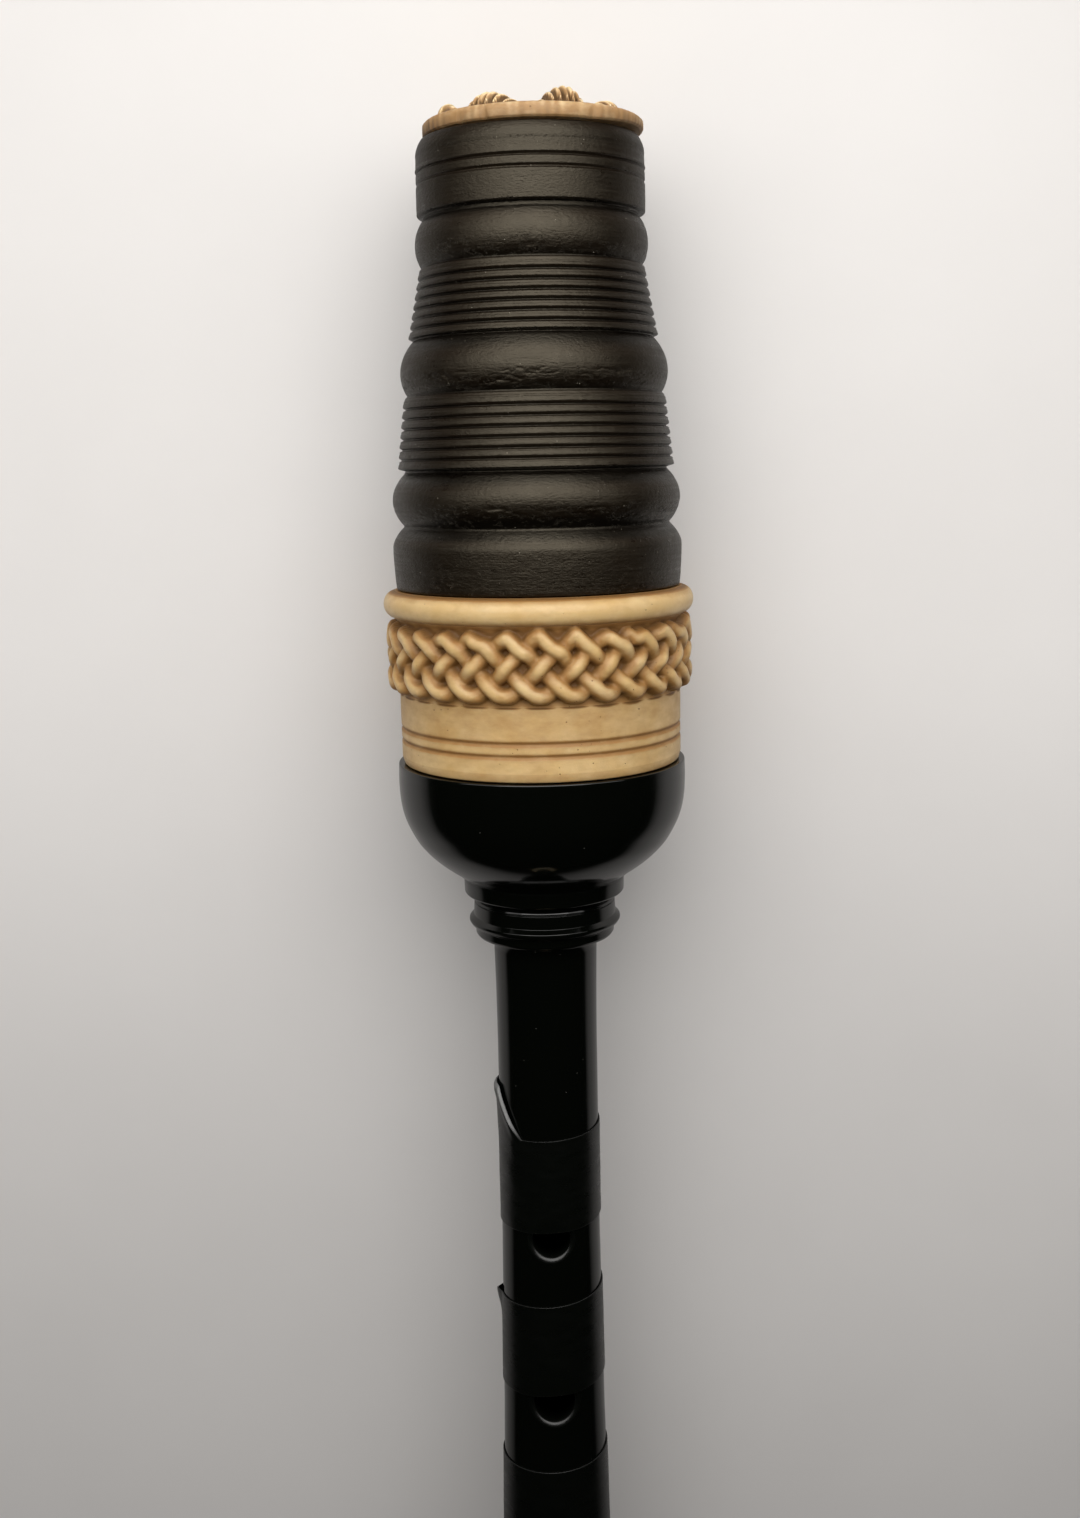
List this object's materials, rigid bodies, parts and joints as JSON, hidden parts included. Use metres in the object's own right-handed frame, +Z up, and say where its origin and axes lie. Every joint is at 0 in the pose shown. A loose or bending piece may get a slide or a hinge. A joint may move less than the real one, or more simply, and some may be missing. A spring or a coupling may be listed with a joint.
{
  "type": "bagpipe chanter with reed cap",
  "caption": "Glossy black bagpipe chanter with taped finger holes, ivory-coloured sole and reed, lying under a turned black cap with a braided ferrule and a carved crest.",
  "frame": {"origin": "on the table, under the middle of the lying object", "axes": "+Z up; +Y from the sole towards the cap, the bore's axis leaning 1.14 degrees down towards the cap; the seven finger holes face up, the thumb hole down"},
  "size_m": [0.0588, 0.418, 0.0587],
  "materials": {
    "black_polish": "polished black acetal",
    "imitation_ivory": "polished imitation ivory",
    "waxed_hemp": "waxed yellow thread, wound tight",
    "black_tape": "semi-gloss PVC film",
    "copper_tube": "drawn copper tube",
    "cane": "scraped cane",
    "reed_thread": "wound thread",
    "cast_black": "satin cast resin with turning marks",
    "aged_ivory": "imitation ivory with brown patina in the recesses",
    "patinated_ivory": "imitation ivory under a heavier brown patina"
  },
  "bodies": {
    "chanter": {"chanter_body": "black_polish", "sole_ring": "imitation_ivory", "tenon_hemp": "waxed_hemp", "tape_high_g": "black_tape", "tape_f": "black_tape", "tape_e": "black_tape", "tape_d": "black_tape", "tape_c": "black_tape", "tape_b": "black_tape", "tape_low_a": "black_tape"},
    "reed": {"reed_staple": "copper_tube", "reed_seat_thread": "waxed_hemp", "reed_blade_front": "cane", "reed_blade_back": "cane", "reed_binding": "reed_thread"},
    "cap": {"cap_body": "cast_black", "cap_ferrule": "aged_ivory", "cap_crest": "patinated_ivory"}
  },
  "joints": [
    {"name": "cap_pull", "type": "slide", "parent": "chanter", "child": "cap", "axis": [0, 0.9998, -0.0199], "range_m": [0, 0.06]},
    {"name": "reed_pull", "type": "slide", "parent": "chanter", "child": "reed", "axis": [0, 0.9998, -0.0199], "range_m": [0, 0.012]}
  ]
}
